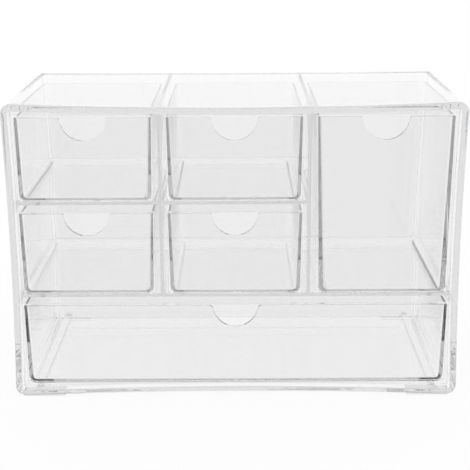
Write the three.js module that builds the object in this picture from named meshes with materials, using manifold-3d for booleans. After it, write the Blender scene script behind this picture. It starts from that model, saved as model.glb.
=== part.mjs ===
// Clear make-up organizer: a moulded case with six drawers. Millimetres, +Z up, front towards -Y.
// The origin lies on the surface that the feet stand on, under the middle of the case.
import * as THREE from "three";
import { mergeVertices } from "three/addons/utils/BufferGeometryUtils.js";
import Module from "manifold-3d";

const wasm = await Module();
wasm.setup();

// Case shell, measured at its front edge
const caseWidth = 270;
const caseDepth = 138;
const caseHeight = 181;
const caseCornerRadius = 6;
const leastCornerRadius = 1.5;
const caseUnderside = 0.7;
const frontSideBow = 1.5;
const frontTopSag = 2.6;
const frontBottomArch = 2.4;
const frontWall = 4;
const frontFloorWall = 3.1;
const frontEdgeRound = 1;

// Case shell at its back, which is a little smaller than the front, bows less and has sharper corners
const backSideTaper = 0.5;
const backTopTaper = 0.8;
const backSideBow = 0.5;
const backTopSag = 0.5;
const backBottomArch = 0.6;
const backWall = 2.8;
const caseBackCornerRadius = 2;

// Back of the case, in one piece with the walls, with a fillet round its inside
const backThickness = 2.4;
const backFillet = 4;

// Front frame, a grid of windows
const frameSetback = 5;
const frameDepth = 5;
const sideMember = 1.2;
const topMember = 1.9;
const bottomMember = 1;
const columnWidth = 8;
const railHeight = 7.2;

// Dividers, shelves and floor runners behind the frame
const panelThickness = 2.2;
const shelfDrop = 0.8;
const jointGap = 0.25;
const runnerWidth = 4;
const runnerInset = 12.4;

// Drawers
const spaceBehindDrawer = 17.1;
const frontThickness = 2.4;
const drawerSideGap = 0.3;
const drawerSeatGap = 0.2;
const drawerTopGap = 0.4;
const outerDraftShare = 0.016;
const innerDraftShare = 0.031;
const drawerCornerRadius = 4;
const innerCornerRadius = 3;
const backCornerRadius = 6;
const floorEdgeRadius = 2;
const sideWall = 1.2;
const backWallOfDrawer = 1.5;
const floorThickness = 1.2;
const floorLift = 0.3;
const frontInnerRadius = 1.2;
const frontFloorRadius = 0.4;
const notchRadius = 13.7;
const notchLip = 1;
const wideNotchLip = 3;
const stopRibInset = 18.25;
const stopRibWidth = 1.5;
const stopRibShortfall = 9;

// Moulding gate marks
const gateRadius = 2.5;
const gateHeight = 0.2;

// Feet
const footWidth = 26;
const footDepth = 8.6;
const footHeight = 2.6;
const footSideInset = 4.5;
const footEndInset = 1.2;
const footCornerRadius = 1.5;
const footGap = 0.2;

// How round shapes are stepped, and how far a cut runs past the face that it opens
const arcSteps = 5;
const bowSteps = 8;
const gateSteps = 14;
const notchSteps = 22;
const overrun = 1;

const clearPlastic = { color: 0xf2f4f5, roughness: 0.08, metalness: 0, transparent: true, opacity: 0.35 };
const footPlastic = { color: 0xe9ecee, roughness: 0.45, metalness: 0, transparent: true, opacity: 0.6 };

const frontY = -caseDepth / 2;
const frameBack = frameSetback + frameDepth;
const innerBack = caseDepth - backThickness;

// Where panels start behind the frame and end before the back, and how they turn its fillet
const panelFront = frameBack + jointGap;
const panelBack = innerBack - jointGap;
const panelTurn = backFillet - jointGap;

// The windows share what the shell's front leaves inside its bowed walls, three across and three up
const windowSpan = caseWidth - (frontSideBow + frontWall + sideMember) * 2;
const windowWidth = (windowSpan - columnWidth * 2) / 3;
const lowestSeat = caseUnderside + frontBottomArch + frontFloorWall + bottomMember;
const highestTop = caseHeight - frontTopSag - frontWall - topMember;
const windowHeight = (highestTop - lowestSeat - railHeight * 2) / 3;
const columnX = (windowWidth + columnWidth) / 2;
const rowPitch = windowHeight + railHeight;
const drawerLength = innerBack - frameSetback - spaceBehindDrawer;

const organizer = new THREE.Group();

// A closed three.js geometry as a solid that can be joined and cut
function solidOf(geometry) {
  const bare = geometry.index ? geometry.toNonIndexed() : geometry.clone();
  bare.deleteAttribute("normal");
  bare.deleteAttribute("uv");
  const merged = mergeVertices(bare);
  const vertProperties = new Float32Array(merged.attributes.position.array);
  const triVerts = new Uint32Array(merged.index.array);
  return new wasm.Manifold(new wasm.Mesh({ numProp: 3, vertProperties, triVerts }));
}

// Adds a solid to the organizer as one named piece
function addPiece(name, solid, finish) {
  const { vertProperties, triVerts } = solid.getMesh();
  const geometry = new THREE.BufferGeometry();
  geometry.setAttribute("position", new THREE.BufferAttribute(new Float32Array(vertProperties), 3));
  geometry.setIndex(new THREE.BufferAttribute(new Uint32Array(triVerts), 1));
  geometry.computeVertexNormals();
  const mesh = new THREE.Mesh(geometry, new THREE.MeshStandardMaterial(finish));
  mesh.name = name;
  organizer.add(mesh);
  return mesh;
}

// A flat shape drawn out along +Z from z = 0
function drawnOut(shape, length, steps) {
  return new THREE.ExtrudeGeometry(shape, { depth: length, bevelEnabled: false, curveSegments: steps });
}

// A flat shape drawn in X and Z, given depth along +Y from y = start
function extrudeAlongY(shape, start, length, steps = arcSteps) {
  const geometry = drawnOut(shape, length, steps);
  geometry.rotateX(Math.PI / 2);
  geometry.translate(0, start + length, 0);
  return solidOf(geometry);
}

// A flat shape drawn in X and Y, given height along +Z from z = start
function extrudeAlongZ(shape, start, height) {
  const geometry = drawnOut(shape, height, arcSteps);
  geometry.translate(0, 0, start);
  return solidOf(geometry);
}

// A flat shape drawn in Y and Z, given width along X, centred on x = middle
function extrudeAlongX(shape, middle, width) {
  const geometry = drawnOut(shape, width, arcSteps);
  geometry.rotateY(Math.PI / 2);
  geometry.rotateX(Math.PI / 2);
  geometry.translate(middle - width / 2, 0, 0);
  return solidOf(geometry);
}

// A box between two corners
function boxBetween(low, high) {
  const size = new THREE.Vector3().subVectors(high, low);
  const geometry = new THREE.BoxGeometry(size.x, size.y, size.z);
  geometry.translate(low.x + size.x / 2, low.y + size.y / 2, low.z + size.z / 2);
  return solidOf(geometry);
}

function vec(x, y, z) {
  return new THREE.Vector3(x, y, z);
}

// The shell's cross-section at a depth behind its front edge. inset moves the sides and the top inward,
// floorInset the bottom.
function sectionAt(depth, inset, floorInset) {
  const share = depth / caseDepth;
  const mix = (front, back) => front + (back - front) * share;
  return {
    halfWidth: caseWidth / 2 - backSideTaper * share - inset,
    top: caseHeight - backTopTaper * share - inset,
    bottom: caseUnderside + floorInset,
    sideBow: mix(frontSideBow, backSideBow),
    topSag: mix(frontTopSag, backTopSag),
    bottomArch: mix(frontBottomArch, backBottomArch),
    radius: Math.max(mix(caseCornerRadius, caseBackCornerRadius) - inset, leastCornerRadius),
  };
}

function wallAt(depth) {
  return frontWall + (backWall - frontWall) * (depth / caseDepth);
}

function floorWallAt(depth) {
  return frontFloorWall + (backWall - frontFloorWall) * (depth / caseDepth);
}

function insideSectionAt(depth, gap) {
  return sectionAt(depth, wallAt(depth) + gap, floorWallAt(depth) + gap);
}

// How far a bowed edge is drawn in at a place between its ends, where share runs from -1 to 1
function bowAt(bow, share) {
  return bow * (1 - share * share);
}

// Half the width of a section at a height
function halfWidthAt(section, z) {
  const middle = (section.top + section.bottom) / 2;
  const half = (section.top - section.bottom) / 2 - section.radius;
  return section.halfWidth - bowAt(section.sideBow, Math.min(1, Math.abs(z - middle) / half));
}

// The height of a section's top edge at a distance from its middle
function topAt(section, x) {
  return section.top - bowAt(section.topSag, x / (section.halfWidth - section.radius));
}

// The height of a section's bottom edge at a distance from its middle
function bottomAt(section, x) {
  return section.bottom + bowAt(section.bottomArch, x / (section.halfWidth - section.radius));
}

// The outline of a section as points in X and Z, anticlockwise from its lower left corner
function outlineOf(section) {
  const { halfWidth, top, bottom, radius, sideBow, topSag, bottomArch } = section;
  const reachX = halfWidth - radius;
  const middleZ = (top + bottom) / 2;
  const reachZ = (top - bottom) / 2 - radius;
  const points = [];
  const edge = (place) => {
    for (let step = 1; step < bowSteps; step += 1) {
      points.push(place((2 * step) / bowSteps - 1));
    }
  };
  const corner = (x, z, startTurn) => {
    for (let step = 0; step <= arcSteps; step += 1) {
      const angle = (startTurn + step / arcSteps) * (Math.PI / 2);
      points.push(new THREE.Vector2(x + radius * Math.cos(angle), z + radius * Math.sin(angle)));
    }
  };
  edge((share) => new THREE.Vector2(reachX * share, bottom + bowAt(bottomArch, share)));
  corner(reachX, middleZ - reachZ, -1);
  edge((share) => new THREE.Vector2(halfWidth - bowAt(sideBow, share), middleZ + reachZ * share));
  corner(reachX, middleZ + reachZ, 0);
  edge((share) => new THREE.Vector2(-reachX * share, top - bowAt(topSag, share)));
  corner(-reachX, middleZ + reachZ, 1);
  edge((share) => new THREE.Vector2(-halfWidth + bowAt(sideBow, share), middleZ - reachZ * share));
  corner(-reachX, middleZ - reachZ, 2);
  return points;
}

// Joins rings of points, each a section outline at a depth, into a skin that is capped at its two end rings
function skinRings(rings) {
  const count = rings[0].points.length;
  const positions = [];
  for (const ring of rings) {
    for (const point of ring.points) {
      positions.push(point.x, frontY + ring.depth, point.y);
    }
  }
  const index = [];
  const last = (rings.length - 1) * count;
  for (let here = 0; here < last; here += count) {
    const next = here + count;
    for (let i = 0; i < count; i += 1) {
      const j = (i + 1) % count;
      index.push(here + i, here + j, next + j, here + i, next + j, next + i);
    }
  }
  for (const [a, b, c] of THREE.ShapeUtils.triangulateShape(rings[0].points, [])) {
    index.push(a, c, b);
  }
  for (const [a, b, c] of THREE.ShapeUtils.triangulateShape(rings[rings.length - 1].points, [])) {
    index.push(last + a, last + b, last + c);
  }
  const geometry = new THREE.BufferGeometry();
  geometry.setAttribute("position", new THREE.Float32BufferAttribute(positions, 3));
  geometry.setIndex(index);
  return facingOut(geometry);
}

// Turns every face of a closed geometry over if it encloses a negative volume
function facingOut(geometry) {
  const place = geometry.attributes.position;
  const index = geometry.index.array;
  const corner = (i) => new THREE.Vector3().fromBufferAttribute(place, index[i]);
  let volume = 0;
  for (let i = 0; i < index.length; i += 3) {
    volume += corner(i).dot(corner(i + 1).cross(corner(i + 2)));
  }
  if (volume < 0) {
    for (let i = 0; i < index.length; i += 3) {
      [index[i + 1], index[i + 2]] = [index[i + 2], index[i + 1]];
    }
  }
  return solidOf(geometry);
}

// The shell as one skin: the inner back wall and its fillet, the inner walls forward to the front rim, then
// the outer walls back to the outer face of the back
function makeShell() {
  const round = frontEdgeRound;
  const edgeShares = [[0, 1], [0.3, 0.3], [1, 0]];
  const outside = (depth, inset) => ({ depth, points: outlineOf(sectionAt(depth, inset, inset)) });
  const inside = (depth, inset) => ({ depth, points: outlineOf(insideSectionAt(depth, inset)) });
  const rings = [];
  for (let step = 0; step <= arcSteps; step += 1) {
    const angle = (step / arcSteps) * (Math.PI / 2);
    const depth = innerBack - backFillet * (1 - Math.cos(angle));
    rings.push(inside(depth, backFillet * (1 - Math.sin(angle))));
  }
  rings.push(inside(round / 2, 0));
  rings.push(inside(0, -round / 2));
  for (const [depthShare, insetShare] of edgeShares) {
    rings.push(outside(round * depthShare, round * insetShare));
  }
  for (const [depthShare, insetShare] of edgeShares.slice().reverse()) {
    rings.push(outside(caseDepth - round * depthShare, round * insetShare));
  }
  let shell = skinRings(rings).subtract(backGate());
  const runnerX = caseWidth / 2 - runnerInset - runnerWidth / 2;
  for (const x of [-runnerX, runnerX]) {
    shell = shell.add(floorRunner(x));
  }
  for (const [sideX, endDepth] of footPlaces()) {
    shell = shell.subtract(footBlock(sideX, endDepth, footGap, -overrun, footHeight + footGap));
  }
  addPiece("case_shell", shell, clearPlastic);
}

// A low rib along the shell's floor, rooted in the floor and the back, that carries the wide drawer's floor
function floorRunner(x) {
  const back = innerBack + backThickness / 2;
  const top = lowestSeat + floorLift;
  const root = (depth) => bottomAt(insideSectionAt(depth, 0), x) - floorWallAt(depth) / 2;
  const outline = new THREE.Shape();
  outline.moveTo(frontY + panelFront, root(panelFront));
  outline.lineTo(frontY + back, root(back));
  outline.lineTo(frontY + back, top);
  outline.lineTo(frontY + panelFront, top);
  return extrudeAlongX(outline, x, runnerWidth);
}

// The shallow round recess of the gate in the middle of the back
function backGate() {
  const depth = gateHeight + overrun;
  const geometry = new THREE.CylinderGeometry(gateRadius, gateRadius, depth, gateSteps);
  geometry.translate(0, frontY + caseDepth - gateHeight + depth / 2, (caseHeight + caseUnderside) / 2);
  return solidOf(geometry);
}

// The middle of each foot as its X and its depth behind the front edge
function footPlaces() {
  const x = caseWidth / 2 - footSideInset - footWidth / 2;
  const nearDepth = footEndInset + footDepth / 2;
  const farDepth = caseDepth - footEndInset - footDepth / 2;
  return [[-x, nearDepth], [x, nearDepth], [-x, farDepth], [x, farDepth]];
}

// A rounded pad in plan, grown sideways by a gap, between two heights
function footBlock(x, depth, gap, low, high) {
  const plan = roundedRectangle(footWidth / 2 + gap, footDepth / 2 + gap, footCornerRadius + gap);
  return extrudeAlongZ(plan, low, high - low).translate([x, frontY + depth, 0]);
}

// A rectangle with four round corners, centred on the origin
function roundedRectangle(halfX, halfY, radius) {
  const shape = new THREE.Shape();
  shape.moveTo(-halfX + radius, -halfY);
  shape.absarc(halfX - radius, -halfY + radius, radius, -Math.PI / 2, 0);
  shape.absarc(halfX - radius, halfY - radius, radius, 0, Math.PI / 2);
  shape.absarc(-halfX + radius, halfY - radius, radius, Math.PI / 2, Math.PI);
  shape.absarc(-halfX + radius, -halfY + radius, radius, Math.PI, Math.PI * 1.5);
  return shape;
}

function makeFeet() {
  const names = ["front_left_foot", "front_right_foot", "rear_left_foot", "rear_right_foot"];
  footPlaces().forEach(([x, depth], i) => {
    addPiece(names[i], footBlock(x, depth, 0, 0, footHeight), footPlastic);
  });
}

// Every window of the grid, with the drawer that fills it
function windows() {
  const sideX = columnX * 2;
  const seat = (row) => lowestSeat + rowPitch * row;
  const small = { width: windowWidth, height: windowHeight, lip: notchLip };
  const tall = { width: windowWidth, height: windowHeight * 2 + railHeight, lip: notchLip };
  const wide = { width: windowSpan, height: windowHeight, lip: wideNotchLip };
  return [
    { name: "upper_left_drawer", x: -sideX, seat: seat(2), ...small },
    { name: "upper_middle_drawer", x: 0, seat: seat(2), ...small },
    { name: "middle_left_drawer", x: -sideX, seat: seat(1), ...small },
    { name: "middle_middle_drawer", x: 0, seat: seat(1), ...small },
    { name: "tall_drawer", x: sideX, seat: seat(1), ...tall },
    { name: "wide_drawer", x: 0, seat: seat(0), ...wide },
  ];
}

// The grid: a plate that fills the shell's inside less the seam, with each window cut through it
function makeFrontFrame() {
  const ring = (depth) => ({ depth, points: outlineOf(insideSectionAt(depth, jointGap)) });
  let frame = skinRings([ring(frameSetback), ring(frameBack)]);
  const front = frontY + frameSetback - overrun;
  const back = frontY + frameBack + overrun;
  for (const { x, seat, width, height } of windows()) {
    const low = vec(x - width / 2, front, seat);
    frame = frame.subtract(boxBetween(low, vec(x + width / 2, back, seat + height)));
  }
  addPiece("front_frame", frame, clearPlastic);
}

// An upright panel behind a column, from the lower shelf to the inside of the shell's top
function makeDivider(name, x) {
  const low = lowestSeat + rowPitch - shelfDrop + jointGap;
  const topEdge = (depth) => topAt(insideSectionAt(depth, jointGap), Math.abs(x) - panelThickness);
  const turnStart = panelBack - panelTurn;
  const outline = new THREE.Shape();
  outline.moveTo(frontY + panelFront, low);
  outline.lineTo(frontY + panelBack, low);
  outline.absarc(frontY + turnStart, topEdge(turnStart) - panelTurn, panelTurn, 0, Math.PI / 2);
  outline.lineTo(frontY + panelFront, topEdge(panelFront));
  addPiece(name, extrudeAlongX(outline, x, panelThickness), clearPlastic);
}

// A shelf's edge along the shell's side wall, rounded at the back to clear the fillet there
function wallEdge(seat, side) {
  const middle = seat - shelfDrop - panelThickness / 2;
  return { at: (depth) => side * halfWidthAt(insideSectionAt(depth, jointGap), middle), turn: panelTurn };
}

// A shelf's edge along a divider or between two of them
function columnEdge(x) {
  return { at: () => x, turn: 0 };
}

// A shelf that lies a little below its drawer's seat, so that the drawer's stop rib runs on it
function makeShelf(name, seat, left, right) {
  const back = frontY + panelBack;
  const rightTurn = right.at(panelBack - right.turn) - right.turn;
  const leftTurn = left.at(panelBack - left.turn) + left.turn;
  const outline = new THREE.Shape();
  outline.moveTo(left.at(panelFront), frontY + panelFront);
  outline.lineTo(right.at(panelFront), frontY + panelFront);
  outline.absarc(rightTurn, back - right.turn, right.turn, 0, Math.PI / 2);
  outline.absarc(leftTurn, back - left.turn, left.turn, Math.PI / 2, Math.PI);
  addPiece(name, extrudeAlongZ(outline, seat - shelfDrop - panelThickness, panelThickness), clearPlastic);
}

function makeShelvesAndDividers() {
  const upperSeat = lowestSeat + rowPitch * 2;
  const lowerSeat = lowestSeat + rowPitch;
  const besideColumn = columnX + panelThickness / 2 + jointGap;
  const inColumns = columnX - panelThickness / 2 - jointGap;
  makeDivider("left_divider", -columnX);
  makeDivider("right_divider", columnX);
  makeShelf("upper_left_shelf", upperSeat, wallEdge(upperSeat, -1), columnEdge(-besideColumn));
  makeShelf("upper_middle_shelf", upperSeat, columnEdge(-inColumns), columnEdge(inColumns));
  makeShelf("lower_shelf", lowerSeat, wallEdge(lowerSeat, -1), wallEdge(lowerSeat, 1));
}

// A drawer's front profile in X and Z: sides that draw in downward and round lower corners
function trayProfile(halfTop, halfBottom, bottom, top, radius) {
  const shape = new THREE.Shape();
  shape.moveTo(-halfBottom + radius, bottom);
  shape.absarc(halfBottom - radius, bottom + radius, radius, -Math.PI / 2, 0);
  shape.lineTo(halfTop, top);
  shape.lineTo(-halfTop, top);
  shape.absarc(-halfBottom + radius, bottom + radius, radius, Math.PI, Math.PI * 1.5);
  return shape;
}

// The plan of a drawer or of its inside, with front corners of one radius and back corners of another
function trayPlan(half, front, back, frontRadius, backRadius) {
  const shape = new THREE.Shape();
  shape.moveTo(-half + frontRadius, front);
  shape.absarc(half - frontRadius, front + frontRadius, frontRadius, -Math.PI / 2, 0);
  shape.absarc(half - backRadius, back - backRadius, backRadius, 0, Math.PI / 2);
  shape.absarc(-half + backRadius, back - backRadius, backRadius, Math.PI / 2, Math.PI);
  shape.absarc(-half + frontRadius, front + frontRadius, frontRadius, Math.PI, Math.PI * 1.5);
  return shape;
}

// The side view of a drawer's inside or outside in Y and Z, with round lower edges
function traySide(front, back, bottom, top, frontRadius, backRadius) {
  const shape = new THREE.Shape();
  shape.moveTo(front + frontRadius, bottom);
  shape.absarc(back - backRadius, bottom + backRadius, backRadius, -Math.PI / 2, 0);
  shape.lineTo(back, top);
  shape.lineTo(front, top);
  shape.absarc(front + frontRadius, bottom + frontRadius, frontRadius, Math.PI, Math.PI * 1.5);
  return shape;
}

// The half-moon finger notch with softened upper corners, in X and Z with its middle on the top edge
function notchShape(lip) {
  const reach = Math.sqrt((notchRadius + lip) ** 2 - lip ** 2);
  const turn = Math.atan2(lip, reach);
  const outline = new THREE.Shape();
  outline.moveTo(-reach, overrun);
  outline.lineTo(-reach, 0);
  outline.absarc(-reach, -lip, lip, Math.PI / 2, turn, true);
  outline.absarc(0, 0, notchRadius, Math.PI + turn, Math.PI * 2 - turn);
  outline.absarc(reach, -lip, lip, Math.PI - turn, Math.PI / 2, true);
  outline.lineTo(reach, overrun);
  return outline;
}

// What three outlines have in common: a front profile, a plan and a side view
function roundedTub({ profile, plan, side, back, width, height }) {
  return extrudeAlongY(profile, 0, back)
    .intersect(extrudeAlongZ(plan, 0, height))
    .intersect(extrudeAlongX(side, 0, width));
}

// One drawer with its front at y = 0, its middle at x = 0 and the bottom edge of its front at z = 0
function drawerSolid(width, height, lip) {
  const half = width / 2;
  const low = half - height * outerDraftShare;
  const floorTop = floorLift + floorThickness;
  const innerHalf = half - sideWall + overrun * innerDraftShare;
  const innerLow = half - sideWall - (height - floorTop) * innerDraftShare;
  const inBack = drawerLength - backWallOfDrawer;
  const innerBackRadius = backCornerRadius - backWallOfDrawer;

  const front = extrudeAlongY(trayProfile(half, low, 0, height, drawerCornerRadius), 0, frontThickness);
  const outside = roundedTub({
    profile: trayProfile(half, low, floorLift, height, drawerCornerRadius),
    plan: trayPlan(half, 0, drawerLength, 0, backCornerRadius),
    side: traySide(0, drawerLength, floorLift, height, 0, floorEdgeRadius + floorThickness),
    back: drawerLength,
    width,
    height,
  });
  const inside = roundedTub({
    profile: trayProfile(innerHalf, innerLow, floorTop, height + overrun, innerCornerRadius),
    plan: trayPlan(innerHalf, frontThickness, inBack, frontInnerRadius, innerBackRadius),
    side: traySide(frontThickness, inBack, floorTop, height + overrun, frontFloorRadius, floorEdgeRadius),
    back: inBack,
    width,
    height: height + overrun,
  });
  const notchCut = extrudeAlongY(notchShape(lip), -overrun, frontThickness + overrun * 2, notchSteps)
    .translate([0, 0, height]);
  const ribHalf = low - drawerCornerRadius - stopRibShortfall;
  // Drawn out by 90, the drawer brings this rib up to the back of the rail under its window
  const ribStart = drawerLength - stopRibInset;
  const ribTop = floorLift + floorThickness / 2;
  const rib = boxBetween(vec(-ribHalf, ribStart, -shelfDrop), vec(ribHalf, ribStart + stopRibWidth, ribTop));
  const gate = underGate(drawerLength / 2);
  return front.add(outside).subtract(inside).subtract(notchCut).add(rib).add(gate);
}

// The gate mark under a drawer's floor, at a distance behind its front
function underGate(y) {
  const geometry = new THREE.CylinderGeometry(gateRadius, gateRadius, gateHeight * 2, gateSteps);
  geometry.rotateX(Math.PI / 2);
  geometry.translate(0, y, floorLift);
  return solidOf(geometry);
}

function makeDrawers() {
  for (const { name, x, seat, width, height, lip } of windows()) {
    const solid = drawerSolid(width - drawerSideGap * 2, height - drawerSeatGap - drawerTopGap, lip);
    const drawer = addPiece(name, solid, clearPlastic);
    drawer.position.set(x, frontY + frameSetback, seat + drawerSeatGap);
  }
}

makeShell();
makeFrontFrame();
makeShelvesAndDividers();
makeDrawers();
makeFeet();

export default organizer;
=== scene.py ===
"""Looks of a clear make-up organizer: a moulded case, a front frame and six drawers that slide in it.

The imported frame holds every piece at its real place. The classes here build the fine moulded surfaces that
the frame's plain solids stand for, and give each of them the look of water-clear plastic. Lengths are in
metres; a field that is written in millimetres is multiplied by MM.
"""

import logging
import math
from collections.abc import Iterable, Sequence
from dataclasses import dataclass
from enum import Enum

import bmesh
import bpy
from mathutils import Matrix, Vector

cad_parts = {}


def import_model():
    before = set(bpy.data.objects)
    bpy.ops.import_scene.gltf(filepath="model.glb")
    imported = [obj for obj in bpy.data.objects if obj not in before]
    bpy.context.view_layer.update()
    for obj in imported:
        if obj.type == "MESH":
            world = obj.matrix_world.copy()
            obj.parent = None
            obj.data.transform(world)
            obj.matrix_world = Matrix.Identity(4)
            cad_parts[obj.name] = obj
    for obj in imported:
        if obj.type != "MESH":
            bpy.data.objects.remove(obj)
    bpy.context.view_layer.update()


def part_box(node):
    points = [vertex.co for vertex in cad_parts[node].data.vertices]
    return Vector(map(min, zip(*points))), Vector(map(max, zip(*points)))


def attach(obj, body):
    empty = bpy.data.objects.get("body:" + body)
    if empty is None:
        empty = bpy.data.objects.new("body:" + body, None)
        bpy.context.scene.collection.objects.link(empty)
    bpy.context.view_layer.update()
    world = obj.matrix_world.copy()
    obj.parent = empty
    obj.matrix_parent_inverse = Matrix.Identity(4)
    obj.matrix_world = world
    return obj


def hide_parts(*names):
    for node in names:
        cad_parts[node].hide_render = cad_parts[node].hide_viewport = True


MM = 0.001
QUARTER = math.pi / 2
TINY = 1e-9

# Turn, in degrees, from which an edge is rounded: on plain pieces and on the finely stepped trays
PLAIN_EDGE = 50
TRAY_EDGE = 40

EDGE_STEPS = 3
PAD_STEPS = 8
CIRCLE_STEPS = 32
FACE_WEIGHT = 100

log = logging.getLogger("organizer")

Point2 = tuple[float, float]


class CaseNode(Enum):
    """The nodes of the case, by what they are."""

    SHELL = "case_shell"
    FRAME = "front_frame"
    LEFT_DIVIDER = "left_divider"
    RIGHT_DIVIDER = "right_divider"
    UPPER_LEFT_SHELF = "upper_left_shelf"
    UPPER_MIDDLE_SHELF = "upper_middle_shelf"
    LOWER_SHELF = "lower_shelf"


# The flat pieces, which stay the frame's own solids
PANELS = (
    CaseNode.LEFT_DIVIDER,
    CaseNode.RIGHT_DIVIDER,
    CaseNode.UPPER_LEFT_SHELF,
    CaseNode.UPPER_MIDDLE_SHELF,
    CaseNode.LOWER_SHELF,
)


class FootNode(Enum):
    """The nodes of the feet."""

    FRONT_LEFT = "front_left_foot"
    FRONT_RIGHT = "front_right_foot"
    REAR_LEFT = "rear_left_foot"
    REAR_RIGHT = "rear_right_foot"


class DrawerNode(Enum):
    """The nodes of the drawers."""

    UPPER_LEFT = "upper_left_drawer"
    UPPER_MIDDLE = "upper_middle_drawer"
    MIDDLE_LEFT = "middle_left_drawer"
    MIDDLE_MIDDLE = "middle_middle_drawer"
    TALL = "tall_drawer"
    WIDE = "wide_drawer"

    @property
    def body(self) -> str:
        """The body that the drawer moves with, which is named after it."""
        return self.value.removesuffix("_drawer")


class Slot(Enum):
    """The record's material slots."""

    CASE = "clear_case_plastic"
    DRAWER = "clear_drawer_plastic"
    FOOT = "clear_foot_rubber"


class Carve(Enum):
    """The ways that one solid is worked into another."""

    CUT = "DIFFERENCE"
    JOIN = "UNION"


class Axis(Enum):
    """The axes that an outline is drawn out along."""

    DEPTH = "Y"
    HEIGHT = "Z"


# Finishes


@dataclass(frozen=True)
class ClearPlastic:
    """Water-clear moulded plastic with the faint waviness and haze of a polished mould, and a grey that is
    painted by the angle it is seen at: painted shade face on, painted light at a low angle, over the
    plastic's own faint tint.

    Attributes:
        name: The material's name.
        face_on_tint_and_shade: Grey of a wall seen face on: the plastic's own faint tint darkened by painted
            shade.
        grazing_tint_and_light: Grey of a wall seen at a low angle, painted lighter than face on as painted
            light.
        ior: Index of refraction.
        haze: Mean roughness of the surface.
        haze_spread: How far the roughness wanders round its mean.
        wave_size: Length of the surface's waves, in metres.
        wave_strength: Strength of those waves in the bump.
        absorption: Light lost along a long way through the plastic, per metre.
        face_on: Facing weight up to which a wall counts as seen face on.
        grazing: Facing weight from which it counts as seen at a low angle.
    """

    name: str
    face_on_tint_and_shade: float = 0.93
    grazing_tint_and_light: float = 0.995
    ior: float = 1.5
    haze: float = 0.006
    haze_spread: float = 0.006
    wave_size: float = 0.05
    wave_strength: float = 0.005
    absorption: float = 3.0
    face_on: float = 0.03
    grazing: float = 0.22

    def material(self) -> bpy.types.Material:
        """Makes the material.

        Returns:
            The finished node material.
        """
        made = bpy.data.materials.new(self.name)
        made.use_nodes = True
        nodes, links = made.node_tree.nodes, made.node_tree.links
        shader = nodes["Principled BSDF"]
        # Painted shade and light: the base colour runs from the darker face-on grey to the lighter low-angle
        # grey as the facing weight rises
        angle = nodes.new("ShaderNodeLayerWeight")
        painted_angle_shade = nodes.new("ShaderNodeMapRange")
        painted_angle_shade.inputs["From Min"].default_value = self.face_on
        painted_angle_shade.inputs["From Max"].default_value = self.grazing
        painted_angle_shade.inputs["To Min"].default_value = self.face_on_tint_and_shade
        painted_angle_shade.inputs["To Max"].default_value = self.grazing_tint_and_light
        links.new(angle.outputs["Facing"], painted_angle_shade.inputs["Value"])
        links.new(painted_angle_shade.outputs["Result"], shader.inputs["Base Color"])
        shader.inputs["IOR"].default_value = self.ior
        shader.inputs["Transmission Weight"].default_value = 1
        place = nodes.new("ShaderNodeTexCoord")
        waves = nodes.new("ShaderNodeTexNoise")
        waves.inputs["Scale"].default_value = 1 / self.wave_size
        waves.inputs["Detail"].default_value = 1
        links.new(place.outputs["Object"], waves.inputs["Vector"])
        bump = nodes.new("ShaderNodeBump")
        bump.inputs["Strength"].default_value = self.wave_strength
        bump.inputs["Distance"].default_value = MM
        links.new(waves.outputs["Fac"], bump.inputs["Height"])
        links.new(bump.outputs["Normal"], shader.inputs["Normal"])
        spread = nodes.new("ShaderNodeMapRange")
        spread.inputs["To Min"].default_value = self.haze - self.haze_spread
        spread.inputs["To Max"].default_value = self.haze + self.haze_spread
        links.new(waves.outputs["Fac"], spread.inputs["Value"])
        links.new(spread.outputs["Result"], shader.inputs["Roughness"])
        volume = nodes.new("ShaderNodeVolumeAbsorption")
        volume.inputs["Color"].default_value = (0, 0, 0, 1)
        volume.inputs["Density"].default_value = self.absorption
        links.new(volume.outputs["Volume"], nodes["Material Output"].inputs["Volume"])
        return made


# The face-on greys below are each plastic's own tint with painted shade added; the low-angle greys are
# painted lighter as painted light
CASE_PLASTIC = ClearPlastic("clear_case_plastic", face_on_tint_and_shade=0.925, absorption=1.5)
DRAWER_PLASTIC = ClearPlastic("clear_drawer_plastic", face_on_tint_and_shade=0.935)
FOOT_PLASTIC = ClearPlastic(
    "clear_foot_rubber",
    face_on_tint_and_shade=0.68,
    grazing_tint_and_light=0.75,
    haze=0.04,
    haze_spread=0.03,
    wave_size=0.004,
    absorption=25.0,
)


# Mesh building


def arc(centre: Point2, radius: float, start: float, end: float, steps: int) -> list[Point2]:
    """Points along a round stretch, both ends included.

    Args:
        centre: The centre of the arc.
        radius: Its radius.
        start: Angle of its first point.
        end: Angle of its last point.
        steps: How many straight steps it takes.

    Returns:
        The points, one more than there are steps.
    """
    turns = [start + (end - start) * step / steps for step in range(steps + 1)]
    return [(centre[0] + radius * math.cos(t), centre[1] + radius * math.sin(t)) for t in turns]


def circle(centre: Point2, radius: float, steps: int = CIRCLE_STEPS) -> list[Point2]:
    """Points all the way round a circle, none of them twice."""
    return arc(centre, radius, 0, 4 * QUARTER, steps)[:-1]


def corner(centre: Point2, radius: float, quarter: int, steps: int) -> list[Point2]:
    """Points round one corner. Corner 0 is the upper right one, and they count anticlockwise."""
    return arc(centre, radius, quarter * QUARTER, (quarter + 1) * QUARTER, steps)


def quarter_inset(radius: float, below: float) -> float:
    """How far a rounded lower edge has drawn in, at a height below the start of its round."""
    below = min(max(below, 0.0), radius)
    return radius - math.sqrt(radius * radius - below * below)


def mix(front: float, back: float, share: float) -> float:
    """The value at a share of the way from the front to the back."""
    return front + (back - front) * share


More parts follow.
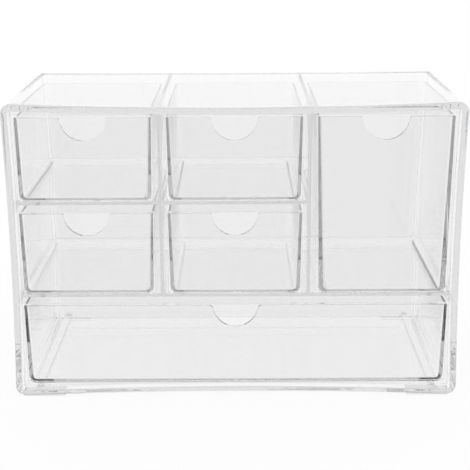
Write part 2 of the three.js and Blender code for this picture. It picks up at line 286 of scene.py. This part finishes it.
class Skin:
    """Collects rings of points and joins them into one closed mesh."""

    def __init__(self) -> None:
        """Starts an empty skin."""
        self.mesh = bmesh.new()

    def ring(self, points: Iterable[Sequence[float]]) -> list[bmesh.types.BMVert]:
        """Adds one ring of vertices."""
        return [self.mesh.verts.new(point) for point in points]

    def band(self, first: Sequence[bmesh.types.BMVert], second: Sequence[bmesh.types.BMVert]) -> None:
        """Joins two rings of the same count by a band of quads.

        Args:
            first: One ring.
            second: The ring that it is joined to.
        """
        count = len(first)
        for i in range(count):
            j = (i + 1) % count
            self.mesh.faces.new((first[i], first[j], second[j], second[i]))

    def bands(self, rings: Sequence[Sequence[bmesh.types.BMVert]]) -> None:
        """Joins each ring to the next."""
        for first, second in zip(rings, rings[1:]):
            self.band(first, second)

    def cap(self, ring: Sequence[bmesh.types.BMVert]) -> None:
        """Closes a ring with one flat face."""
        self.mesh.faces.new(ring)

    def strip_cap(self, ring: Sequence[bmesh.types.BMVert]) -> None:
        """Closes a ring that mirrors itself with strips from each point to its mirror point.

        Args:
            ring: A ring whose first and last points are mirror images, and so on inward.
        """
        last = len(ring) - 1
        for i in range(len(ring) // 2 - 1):
            self.mesh.faces.new((ring[i], ring[i + 1], ring[last - i - 1], ring[last - i]))

    def finish(self, name: str) -> bpy.types.Object:
        """Turns the skin into an object.

        Args:
            name: The object's name.

        Returns:
            The new object, with smooth faces that look outward.
        """
        bmesh.ops.recalc_face_normals(self.mesh, faces=self.mesh.faces)
        for face in self.mesh.faces:
            face.smooth = True
        data = bpy.data.meshes.new(name)
        self.mesh.to_mesh(data)
        self.mesh.free()
        made = bpy.data.objects.new(name, data)
        bpy.context.scene.collection.objects.link(made)
        return made


def prism(
    name: str, outline: Sequence[Point2], low: float, high: float, axis: Axis = Axis.HEIGHT
) -> bpy.types.Object:
    """A flat outline drawn out along an axis.

    Args:
        name: The object's name.
        outline: The outline's points, in X and Y for the height and in X and Z for the depth.
        low: Where the prism starts along the axis.
        high: Where it ends.
        axis: The axis that it is drawn out along.

    Returns:
        The closed prism.
    """
    skin = Skin()

    def at(level: float) -> list[Sequence[float]]:
        """The outline's points at one place along the axis."""
        return [(a, level, b) if axis is Axis.DEPTH else (a, b, level) for a, b in outline]

    ends = [skin.ring(at(low)), skin.ring(at(high))]
    skin.bands(ends)
    for end in ends:
        skin.cap(end)
    return skin.finish(name)


def block(name: str, low: Sequence[float], high: Sequence[float]) -> bpy.types.Object:
    """A plain box between two corners, used only to work other meshes."""
    corners = [(low[0], low[1]), (high[0], low[1]), (high[0], high[1]), (low[0], high[1])]
    return prism(name, corners, low[2], high[2])


def work(target: bpy.types.Object, how: Carve, tools: Sequence[bpy.types.Object]) -> None:
    """Works other solids into a target and deletes them.

    Args:
        target: The object whose mesh changes.
        how: Whether the tools are cut away or joined on.
        tools: The solids that are used up.
    """
    for tool in tools:
        step = target.modifiers.new(how.name, "BOOLEAN")
        step.operation = how.value
        step.solver = "EXACT"
        step.object = tool
        bpy.context.view_layer.update()
        view = bpy.context.evaluated_depsgraph_get()
        worked = bpy.data.meshes.new_from_object(target.evaluated_get(view))
        target.modifiers.remove(step)
        spent = target.data
        target.data = worked
        bpy.data.meshes.remove(spent)
        bpy.data.objects.remove(tool)
    for face in target.data.polygons:
        face.use_smooth = True


def soften(target: bpy.types.Object, radius: float, limit: float = PLAIN_EDGE) -> None:
    """Rounds the sharp edges of an object and keeps its flat faces flat to the light.

    Args:
        target: The object.
        radius: Width of the rounded edge.
        limit: Edges that turn by more than this many degrees are rounded.
    """
    bevel = target.modifiers.new("soft_edges", "BEVEL")
    bevel.width = radius
    bevel.segments = EDGE_STEPS
    bevel.limit_method = "ANGLE"
    bevel.angle_limit = math.radians(limit)
    bevel.miter_outer = "MITER_ARC"
    flat = target.modifiers.new("flat_faces", "WEIGHTED_NORMAL")
    flat.keep_sharp = False
    flat.weight = FACE_WEIGHT


def dress(target: bpy.types.Object, finish: bpy.types.Material, slot: Slot) -> None:
    """Gives an object its material.

    Args:
        target: The object.
        finish: Its material.
        slot: The slot in the record; not used.
    """
    target.data.materials.clear()
    target.data.materials.append(finish)


# The case


@dataclass(frozen=True)
class Section:
    """The shell's cross-section at one depth: a rectangle with bowed edges and round corners.

    Attributes:
        half_width: Half its width at the corners.
        top: Height of its upper corners.
        bottom: Height of its lower corners.
        side_bow: How far the sides are drawn in at the middle.
        top_sag: How far the top sinks at the middle.
        bottom_arch: How far the bottom rises at the middle.
        radius: Corner radius.
    """

    half_width: float
    top: float
    bottom: float
    side_bow: float
    top_sag: float
    bottom_arch: float
    radius: float

    @staticmethod
    def bow(depth: float, share: float) -> float:
        """How far a bowed edge is drawn in, where share runs from -1 to 1 along it."""
        return depth * (1 - share * share)

    def outline(self, bow_steps: int, corner_steps: int) -> list[Point2]:
        """The outline in X and Z, anticlockwise from the lower left corner.

        Args:
            bow_steps: Steps along each bowed edge.
            corner_steps: Steps round each corner.

        Returns:
            The points.
        """
        reach_x = self.half_width - self.radius
        middle = (self.top + self.bottom) / 2
        reach_z = (self.top - self.bottom) / 2 - self.radius
        low, high = middle - reach_z, middle + reach_z
        shares = [2 * step / bow_steps - 1 for step in range(1, bow_steps)]
        points = [(reach_x * s, self.bottom + self.bow(self.bottom_arch, s)) for s in shares]
        points += corner((reach_x, low), self.radius, -1, corner_steps)
        points += [(self.half_width - self.bow(self.side_bow, s), middle + reach_z * s) for s in shares]
        points += corner((reach_x, high), self.radius, 0, corner_steps)
        points += [(-reach_x * s, self.top - self.bow(self.top_sag, s)) for s in shares]
        points += corner((-reach_x, high), self.radius, 1, corner_steps)
        points += [(-self.half_width + self.bow(self.side_bow, s), middle - reach_z * s) for s in shares]
        points += corner((-reach_x, low), self.radius, 2, corner_steps)
        return points


@dataclass
class Case:
    """The fixed parts: shell, front frame, shelves, dividers and feet.

    The fields after the two finishes are the case's own lengths and counts of steps.

    Attributes:
        finish: The plastic of the case.
        foot_finish: The soft plastic of the feet.
    """

    finish: bpy.types.Material
    foot_finish: bpy.types.Material
    corner_radius: float = 6 * MM
    back_corner_radius: float = 2 * MM
    least_corner_radius: float = 1.5 * MM
    underside: float = 0.7 * MM
    front_side_bow: float = 1.5 * MM
    front_top_sag: float = 2.6 * MM
    front_bottom_arch: float = 2.4 * MM
    front_wall: float = 4 * MM
    front_floor_wall: float = 3.1 * MM
    back_side_taper: float = 0.5 * MM
    back_top_taper: float = 0.8 * MM
    back_side_bow: float = 0.5 * MM
    back_top_sag: float = 0.5 * MM
    back_bottom_arch: float = 0.6 * MM
    back_wall: float = 2.8 * MM
    rim_round: float = 1 * MM
    inner_rim_round: float = 0.5 * MM
    seam: float = 0.25 * MM
    back_thickness: float = 2.4 * MM
    back_fillet: float = 4 * MM
    runner_width: float = 4 * MM
    runner_inset: float = 12.4 * MM
    foot_gap: float = 0.2 * MM
    foot_corner: float = 1.5 * MM
    edge_round: float = 0.25 * MM
    gate_radius: float = 2.5 * MM
    gate_depth: float = 0.2 * MM
    foot_round: float = 0.4 * MM
    overrun: float = 1 * MM
    weld_reach: float = 0.01 * MM
    bow_steps: int = 28
    corner_steps: int = 10
    rim_steps: int = 6

    def __post_init__(self) -> None:
        """Reads the overall sizes from the frame."""
        self.low, self.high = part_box(CaseNode.SHELL.value)
        self.depth = self.high.y - self.low.y
        self.half_width = self.high.x
        self.top = self.high.z

    def section(self, depth: float, inset: float, floor_inset: float) -> Section:
        """The outer cross-section at a depth behind the front edge, drawn in.

        Args:
            depth: Distance behind the front edge.
            inset: How far the sides and the top are moved inward.
            floor_inset: How far the bottom is moved up.

        Returns:
            The cross-section.
        """
        share = depth / self.depth
        radius = mix(self.corner_radius, self.back_corner_radius, share) - inset
        return Section(
            half_width=self.half_width - self.back_side_taper * share - inset,
            top=self.top - self.back_top_taper * share - inset,
            bottom=self.underside + floor_inset,
            side_bow=mix(self.front_side_bow, self.back_side_bow, share),
            top_sag=mix(self.front_top_sag, self.back_top_sag, share),
            bottom_arch=mix(self.front_bottom_arch, self.back_bottom_arch, share),
            radius=max(radius, self.least_corner_radius),
        )

    def inside(self, depth: float, gap: float) -> Section:
        """The inner cross-section at a depth behind the front edge.

        Args:
            depth: Distance behind the front edge.
            gap: How far it is drawn in from the shell's inner faces.

        Returns:
            The cross-section.
        """
        share = depth / self.depth
        wall = mix(self.front_wall, self.back_wall, share)
        floor_wall = mix(self.front_floor_wall, self.back_wall, share)
        return self.section(depth, wall + gap, floor_wall + gap)

    def ring(self, skin: Skin, section: Section, depth: float) -> list[bmesh.types.BMVert]:
        """Adds a section's outline to a skin at its depth."""
        outline = section.outline(self.bow_steps, self.corner_steps)
        return skin.ring((x, self.low.y + depth, z) for x, z in outline)

    def stations(self) -> list[tuple[Section, float]]:
        """Cross-sections along the shell's skin, from the inner back forward to the rim and back outside.

        Returns:
            Each section with its depth behind the front edge.
        """
        turns = [QUARTER * step / self.rim_steps for step in range(self.rim_steps + 1)]
        outer, inner, fillet = self.rim_round, self.inner_rim_round, self.back_fillet
        inner_back = self.depth - self.back_thickness
        inside = [(fillet * (1 - math.sin(t)), inner_back - fillet * (1 - math.cos(t))) for t in turns]
        inside += [(inner * (math.cos(t) - 1), inner * (1 - math.sin(t))) for t in turns]
        outside = [(outer * (1 - math.sin(t)), outer * (1 - math.cos(t))) for t in turns]
        outside += [(outer * (1 - math.cos(t)), self.depth - outer * (1 - math.sin(t))) for t in turns]
        stations = [(self.inside(at, inset), at) for inset, at in inside]
        return stations + [(self.section(at, inset, inset), at) for inset, at in outside]

    def build_shell(self, seat: float) -> bpy.types.Object:
        """Makes the five-sided shell with its floor runners, gate mark and the pockets of the feet.

        Args:
            seat: Height that the lowest drawer's floor runs at.

        Returns:
            The shell.
        """
        skin = Skin()
        rings = [self.ring(skin, section, depth) for section, depth in self.stations()]
        skin.bands(rings)
        skin.cap(rings[0])
        skin.cap(rings[-1])
        shell = skin.finish("moulded_shell")
        work(shell, Carve.JOIN, [self.runner(side, seat) for side in (-1, 1)])
        work(shell, Carve.CUT, [self.back_gate()] + [self.pocket(foot) for foot in FootNode])
        soften(shell, self.edge_round)
        return shell

    def runner(self, side: int, seat: float) -> bpy.types.Object:
        """The low rib along the shell's floor that carries the lowest drawer on one side.

        Args:
            side: -1 for the left side and 1 for the right one.
            seat: Height of the rib's top.

        Returns:
            The rib, rooted in the floor and the back.
        """
        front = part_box(CaseNode.FRAME.value)[1].y + self.seam
        reach = self.half_width - self.runner_inset
        near, far = sorted((side * reach, side * (reach - self.runner_width)))
        root = self.underside + self.back_wall / 2
        return block("runner", (near, front, root), (far, self.high.y - self.back_thickness / 2, seat))

    def back_gate(self) -> bpy.types.Object:
        """The shallow round recess of the gate in the middle of the back, as a solid to cut away."""
        outline = circle((0, (self.top + self.underside) / 2), self.gate_radius)
        return prism("gate", outline, self.high.y - self.gate_depth, self.high.y + self.overrun, Axis.DEPTH)

    def pocket(self, foot: FootNode) -> bpy.types.Object:
        """The cut in the shell's underside that holds one foot.

        Args:
            foot: The foot that it holds.

        Returns:
            The solid to cut away.
        """
        low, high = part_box(foot.value)
        outline = pad_outline(low, high, self.foot_gap, self.foot_corner)
        return prism("pocket", outline, low.z - self.overrun, high.z + self.foot_gap)

    def build_frame(self, windows: Sequence["Window"]) -> bpy.types.Object:
        """Makes the front frame, a plate with an opening for each drawer.

        Args:
            windows: The places of the drawers in the frame.

        Returns:
            The frame.
        """
        low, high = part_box(CaseNode.FRAME.value)
        depths = (low.y - self.low.y, high.y - self.low.y)
        skin = Skin()
        ends = [self.ring(skin, self.inside(depth, self.seam), depth) for depth in depths]
        skin.bands(ends)
        for end in ends:
            skin.cap(end)
        frame = skin.finish("front_grid")
        work(frame, Carve.CUT, [window.cut(low.y, high.y) for window in windows])
        soften(frame, self.edge_round)
        return frame

    def build_foot(self, foot: FootNode) -> bpy.types.Object:
        """Makes one foot, a soft pad with rounded edges.

        Args:
            foot: The foot to make.

        Returns:
            The pad.
        """
        low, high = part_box(foot.value)
        pad = prism(f"{foot.value}_pad", pad_outline(low, high, 0, self.foot_corner), low.z, high.z)
        soften(pad, self.foot_round)
        return pad

    def build(self, windows: Sequence["Window"]) -> list[bpy.types.Object]:
        """Builds, dresses and seats every fixed piece.

        Args:
            windows: The places of the drawers in the frame.

        Returns:
            The shell, the front frame, the frame's own dividers and shelves, and the feet.
        """
        lowest = min(window.seat for window in windows)
        made = {
            CaseNode.SHELL: self.build_shell(lowest + Window.floor_lift),
            CaseNode.FRAME: self.build_frame(windows),
        }
        pieces = list(made.values())
        for node, piece in made.items():
            dress(piece, self.finish, Slot.CASE)
            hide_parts(node.value)
            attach(piece, "case")
        for node in PANELS:
            panel = bpy.data.objects[node.value]
            panel.modifiers.new("joined_corners", "WELD").merge_threshold = self.weld_reach
            soften(panel, self.edge_round)
            dress(panel, self.finish, Slot.CASE)
            pieces.append(panel)
        for foot in FootNode:
            pad = self.build_foot(foot)
            dress(pad, self.foot_finish, Slot.FOOT)
            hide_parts(foot.value)
            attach(pad, "case")
            pieces.append(pad)
        return pieces


def pad_outline(low: Vector, high: Vector, gap: float, corner_radius: float) -> list[Point2]:
    """A rounded rectangle in plan round a box, grown by a gap.

    Args:
        low: The box's lowest corner.
        high: Its highest corner.
        gap: How far the outline is grown.
        corner_radius: Corner radius before the outline is grown.

    Returns:
        The outline's points.
    """
    radius = corner_radius + gap
    left, right = low.x - gap + radius, high.x + gap - radius
    front, back = low.y - gap + radius, high.y + gap - radius
    centres = [(right, front), (right, back), (left, back), (left, front)]
    points = []
    for quarter, centre in enumerate(centres, start=-1):
        points += corner(centre, radius, quarter, PAD_STEPS)
    return points


# The drawers


@dataclass(frozen=True)
class Window:
    """The opening in the front frame round one drawer, and the clearances between the two.

    Attributes:
        low: The drawer's lowest corner, under its stop rib.
        high: The drawer's highest corner.
        side_gap: Gap on either side of the drawer.
        seat_gap: Gap between the drawer's front and the rail under it.
        top_gap: Gap above the drawer.
        rib_drop: How far the stop rib reaches below the drawer's front.
        floor_lift: How far the drawer's floor lies above the lower edge of its front.
        overrun: How far a solid that cuts runs past the faces that it cuts.
    """

    low: Vector
    high: Vector
    side_gap: float = 0.3 * MM
    seat_gap: float = 0.2 * MM
    top_gap: float = 0.4 * MM
    rib_drop: float = 0.8 * MM
    floor_lift: float = 0.3 * MM
    overrun: float = 1 * MM

    @property
    def seat(self) -> float:
        """Height of the rail that the drawer's front stands on."""
        return self.low.z + self.rib_drop - self.seat_gap

    def cut(self, front: float, back: float) -> bpy.types.Object:
        """The solid that is cut away for the window.

        Args:
            front: The frame's front face along Y.
            back: Its back face.

        Returns:
            A box that runs past both faces.
        """
        low = (self.low.x - self.side_gap, front - self.overrun, self.seat)
        high = (self.high.x + self.side_gap, back + self.overrun, self.high.z + self.top_gap)
        return block("window", low, high)


@dataclass
class Drawer:
    """One moulded tray: a flat front with a finger notch, draughted sides and round lower edges.

    The fields after the lip are the tray's own lengths, the lean of its sides and counts of steps.

    Attributes:
        node: The drawer's node.
        finish: Its plastic.
        lip: Radius of the notch's upper corners.
    """

    node: DrawerNode
    finish: bpy.types.Material
    lip: float = 1 * MM
    front_thickness: float = 2.4 * MM
    side_wall: float = 1.2 * MM
    back_wall: float = 1.5 * MM
    floor_thickness: float = 1.2 * MM
    outer_draft: float = 0.016
    inner_draft: float = 0.031
    outer_radius: float = 4 * MM
    inner_radius: float = 3 * MM
    back_corner: float = 6 * MM
    back_floor_radius: float = 2 * MM
    front_corner: float = 1.2 * MM
    front_floor_radius: float = 0.4 * MM
    outer_front_corner: float = 0.35 * MM
    notch_radius: float = 13.7 * MM
    rib_inset: float = 18.25 * MM
    rib_width: float = 1.5 * MM
    rib_shortfall: float = 9 * MM
    gate_radius: float = 2.5 * MM
    gate_height: float = 0.2 * MM
    edge_round: float = 0.3 * MM
    least_radius: float = 0.3 * MM
    floor_step: float = 0.15 * MM
    inner_kinks: Point2 = (4 * MM, 5 * MM)
    corner_steps: int = 8
    level_steps: int = 12
    notch_steps: int = 48

    def __post_init__(self) -> None:
        """Reads the drawer's place and size from the frame."""
        low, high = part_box(self.node.value)
        self.window = Window(low, high)
        self.place = Vector(((low.x + high.x) / 2, low.y, low.z + Window.rib_drop))
        self.half = (high.x - low.x) / 2
        self.length = high.y - low.y
        self.height = high.z - self.place.z
        self.floor_lift = Window.floor_lift
        self.floor_top = self.floor_lift + self.floor_thickness
        self.low_half = self.half - self.height * self.outer_draft
        self.inner_back = self.length - self.back_wall

    def plan(self, half: float, front: float, back: float, radii: Point2, kinks: Point2) -> list[Point2]:
        """One level of the tray in plan, anticlockwise from the front middle.

        Args:
            half: Half the width.
            front: Place of the front along Y.
            back: Place of the back along Y.
            radii: Radius of the front corners and of the back corners.
            kinks: Two places along each side that get a point of their own.

        Returns:
            The outline, which mirrors itself from its two ends inward.
        """
        near, far = radii
        right = arc((half - near, front + near), near, -QUARTER, 0, self.corner_steps)
        right += [(half, y) for y in kinks]
        right += arc((half - far, back - far), far, 0, QUARTER, self.corner_steps)
        return right + [(-x, y) for x, y in reversed(right)]

    def levels(self, start: float) -> list[float]:
        """How far below the start of the lower round each ring lies, from its start to the bottom."""
        return [start * math.sin(QUARTER * step / self.level_steps) for step in range(self.level_steps + 1)]

    def drawn_in(self, radius: float, inset: float) -> float:
        """A corner's radius after its walls have moved inward, never quite sharp."""
        return max(radius - inset, self.least_radius)

    def outer_rings(self, skin: Skin) -> list[list[bmesh.types.BMVert]]:
        """The tray's outside, whose front strip reaches lower than the floor does.

        Args:
            skin: The skin that the rings are added to.

        Returns:
            The rings, from the rim down.
        """
        kinks = (self.front_thickness, self.front_thickness + self.floor_step)
        radii = (self.outer_front_corner, self.back_corner)
        top = self.plan(self.half, 0, self.length, radii, kinks)
        rings = [skin.ring((x, y, self.height) for x, y in top)]
        back_radius = self.back_floor_radius + self.floor_thickness
        for below in self.levels(self.outer_radius):
            inset = quarter_inset(self.outer_radius, below)
            back_inset = quarter_inset(back_radius, below - self.outer_radius + back_radius)
            radii = (self.outer_front_corner, self.drawn_in(self.back_corner, inset))
            outline = self.plan(self.low_half - inset, 0, self.length - back_inset, radii, kinks)
            z = self.outer_radius - below
            raised = z + self.floor_lift
            front = self.front_thickness + TINY
            rings.append(skin.ring((x, y, z if y <= front else raised) for x, y in outline))
        return rings

    def inner_rings(self, skin: Skin) -> list[list[bmesh.types.BMVert]]:
        """The tray's inside, down to the top of its floor.

        Args:
            skin: The skin that the rings are added to.

        Returns:
            The rings, from the rim down.
        """
        kinks = (self.front_thickness + self.inner_kinks[0], self.front_thickness + self.inner_kinks[1])
        back_corner = self.back_corner - self.back_wall
        half = self.half - self.side_wall
        low_half = half - (self.height - self.floor_top) * self.inner_draft
        top = self.plan(half, self.front_thickness, self.inner_back, (self.front_corner, back_corner), kinks)
        rings = [skin.ring((x, y, self.height) for x, y in top)]
        for below in self.levels(self.inner_radius):
            inset, front_inset, back_inset = (
                quarter_inset(radius, below - self.inner_radius + radius)
                for radius in (self.inner_radius, self.front_floor_radius, self.back_floor_radius)
            )
            radii = (self.drawn_in(self.front_corner, inset), self.drawn_in(back_corner, inset))
            front, back = self.front_thickness + front_inset, self.inner_back - back_inset
            outline = self.plan(low_half - inset, front, back, radii, kinks)
            z = self.floor_top + self.inner_radius - below
            rings.append(skin.ring((x, y, z) for x, y in outline))
        return rings

    def notch(self) -> bpy.types.Object:
        """The half-moon finger notch with softened upper corners.

        Returns:
            The solid to cut away.
        """
        reach = math.sqrt((self.notch_radius + self.lip) ** 2 - self.lip**2)
        turn = math.atan2(self.lip, reach)
        over = Window.overrun
        left = arc((-reach, -self.lip), self.lip, QUARTER, turn, self.corner_steps)
        moon = arc((0, 0), self.notch_radius, math.pi + turn, 2 * math.pi - turn, self.notch_steps)
        right = arc((reach, -self.lip), self.lip, math.pi - turn, QUARTER, self.corner_steps)
        outline = [(-reach, over)] + left + moon[1:-1] + right + [(reach, over)]
        outline = [(x, self.height + z) for x, z in outline]
        return prism("notch", outline, -over, self.front_thickness + over, Axis.DEPTH)

    def underside_marks(self) -> list[bpy.types.Object]:
        """The stop rib and the gate mark under the floor.

        Returns:
            The two solids to join on.
        """
        reach = self.low_half - self.outer_radius - self.rib_shortfall
        start = self.length - self.rib_inset
        root = self.floor_lift + self.floor_thickness / 2
        rib = block("rib", (-reach, start, -Window.rib_drop), (reach, start + self.rib_width, root))
        gate = circle((0, self.length / 2), self.gate_radius)
        return [rib, prism("gate", gate, self.floor_lift - self.gate_height, root)]

    def build(self) -> bpy.types.Object:
        """Builds, dresses and seats the drawer.

        Returns:
            The drawer.
        """
        skin = Skin()
        outer, inner = self.outer_rings(skin), self.inner_rings(skin)
        skin.bands(outer)
        skin.bands(inner)
        skin.band(outer[0], inner[0])
        skin.strip_cap(outer[-1])
        skin.strip_cap(inner[-1])
        tray = skin.finish(f"{self.node.body}_tray")
        work(tray, Carve.CUT, [self.notch()])
        work(tray, Carve.JOIN, self.underside_marks())
        tray.data.transform(Matrix.Translation(self.place))
        soften(tray, self.edge_round, TRAY_EDGE)
        dress(tray, self.finish, Slot.DRAWER)
        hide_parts(self.node.value)
        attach(tray, self.node.body)
        return tray


@dataclass
class WideDrawer(Drawer):
    """The drawer over the full width, whose notch has softer upper corners."""

    lip: float = 3 * MM


# The studio


@dataclass(frozen=True)
class Studio:
    """A pale floor, plain soft light and the photograph's camera.

    Attributes:
        lens: Focal length, in the same millimetres as the sensor's width.
        sensor: The sensor's width.
        reach: Nearest and furthest distance that the camera sees.
        eye: The camera's place.
        pitch: How far it looks down, in degrees.
        roll: How far it leans, in degrees.
        heading: How far it turns to its left, in degrees.
        floor_reach: Radius of the floor.
        floor_steps: Straight steps round the floor's edge.
        floor_white: The floor's own grey.
        backdrop_share: Share of plain white in the floor for rays that look at the background.
        sky: Strength of the even light from all round.
        bounces: How often light may turn in the plastic.
        matt_bounces: How often it may turn between matt surfaces.
    """

    lens: float = 88.7
    sensor: float = 36
    reach: Point2 = (0.01, 100)
    eye: tuple[float, float, float] = (2.4 * MM, -727.3 * MM, 287.8 * MM)
    pitch: float = 15.70
    roll: float = -0.31
    heading: float = 0.21
    floor_reach: float = 12.0
    floor_steps: int = 96
    floor_white: float = 0.97
    backdrop_share: float = 0.93
    sky: float = 1.0
    bounces: int = 96
    matt_bounces: int = 3

    def camera(self) -> None:
        """Makes the camera at the photograph's viewing angle."""
        data = bpy.data.cameras.new("camera")
        data.lens = self.lens
        data.sensor_width = self.sensor
        data.clip_start, data.clip_end = self.reach
        camera = bpy.data.objects.new("camera", data)
        turn = Matrix.Rotation(math.radians(self.heading), 4, "Z")
        tilt = Matrix.Rotation(math.radians(90 - self.pitch), 4, "X")
        lean = Matrix.Rotation(math.radians(self.roll), 4, "Z")
        camera.matrix_world = Matrix.Translation(self.eye) @ turn @ tilt @ lean
        bpy.context.scene.collection.objects.link(camera)
        bpy.context.scene.camera = camera

    @staticmethod
    def looks_at_background(tree: bpy.types.NodeTree) -> bpy.types.NodeSocket:
        """A value that is one for rays from the camera, in gloss or through the plastic.

        Args:
            tree: The floor's node tree.

        Returns:
            The value's socket.
        """
        path = tree.nodes.new("ShaderNodeLightPath")
        total = path.outputs["Is Camera Ray"]
        for name in ("Is Glossy Ray", "Is Transmission Ray"):
            most = tree.nodes.new("ShaderNodeMath")
            most.operation = "MAXIMUM"
            tree.links.new(total, most.inputs[0])
            tree.links.new(path.outputs[name], most.inputs[1])
            total = most.outputs["Value"]
        return total

    def floor(self) -> None:
        """Makes the plain pale floor, which keeps a faint shadow of the object."""
        edge = circle((0, 0), self.floor_reach, self.floor_steps)
        data = bpy.data.meshes.new("floor")
        data.from_pydata([(x, y, 0) for x, y in edge], [], [range(len(edge))])
        floor = bpy.data.objects.new("floor", data)
        bpy.context.scene.collection.objects.link(floor)
        paper = bpy.data.materials.new("pale_floor")
        paper.use_nodes = True
        tree = paper.node_tree
        nodes, links = tree.nodes, tree.links
        nodes.clear()
        matt = nodes.new("ShaderNodeBsdfDiffuse")
        matt.inputs["Color"].default_value = (self.floor_white, self.floor_white, self.floor_white, 1)
        white = nodes.new("ShaderNodeEmission")
        white.inputs["Strength"].default_value = 1
        share = nodes.new("ShaderNodeMath")
        share.operation = "MULTIPLY"
        share.inputs[1].default_value = self.backdrop_share
        links.new(self.looks_at_background(tree), share.inputs[0])
        mix = nodes.new("ShaderNodeMixShader")
        links.new(share.outputs["Value"], mix.inputs["Fac"])
        links.new(matt.outputs["BSDF"], mix.inputs[1])
        links.new(white.outputs["Emission"], mix.inputs[2])
        links.new(mix.outputs["Shader"], nodes.new("ShaderNodeOutputMaterial").inputs["Surface"])
        data.materials.append(paper)

    def world(self) -> None:
        """Lights the room evenly from all round, which is also the white background."""
        world = bpy.data.worlds.new("studio")
        world.use_nodes = True
        backdrop = world.node_tree.nodes["Background"]
        backdrop.inputs["Color"].default_value = (1, 1, 1, 1)
        backdrop.inputs["Strength"].default_value = self.sky
        bpy.context.scene.world = world

    def tracing(self) -> None:
        """Lets light pass through the many walls before a path ends."""
        cycles = bpy.context.scene.cycles
        cycles.max_bounces = self.bounces
        cycles.transmission_bounces = self.bounces
        cycles.glossy_bounces = self.bounces
        cycles.diffuse_bounces = self.matt_bounces
        cycles.caustics_reflective = True
        cycles.caustics_refractive = True
        cycles.use_denoising = True
        bpy.context.scene.view_settings.view_transform = "Standard"

    def build(self) -> None:
        """Builds the whole studio."""
        self.camera()
        self.floor()
        self.world()
        self.tracing()


def main() -> None:
    """Builds the studio, the case and the drawers in order and reports each piece."""
    logging.basicConfig(level=logging.INFO, format="%(message)s")
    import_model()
    Studio().build()
    case_plastic = CASE_PLASTIC.material()
    drawer_plastic = DRAWER_PLASTIC.material()
    case = Case(case_plastic, FOOT_PLASTIC.material())
    drawers = [Drawer(node, drawer_plastic) for node in DrawerNode if node is not DrawerNode.WIDE]
    drawers.append(WideDrawer(DrawerNode.WIDE, drawer_plastic))
    pieces = case.build([drawer.window for drawer in drawers])
    pieces += [drawer.build() for drawer in drawers]
    for piece in pieces:
        log.info("%s: %d faces of %s", piece.name, len(piece.data.polygons), piece.active_material.name)


if __name__ == "__main__":
    main()
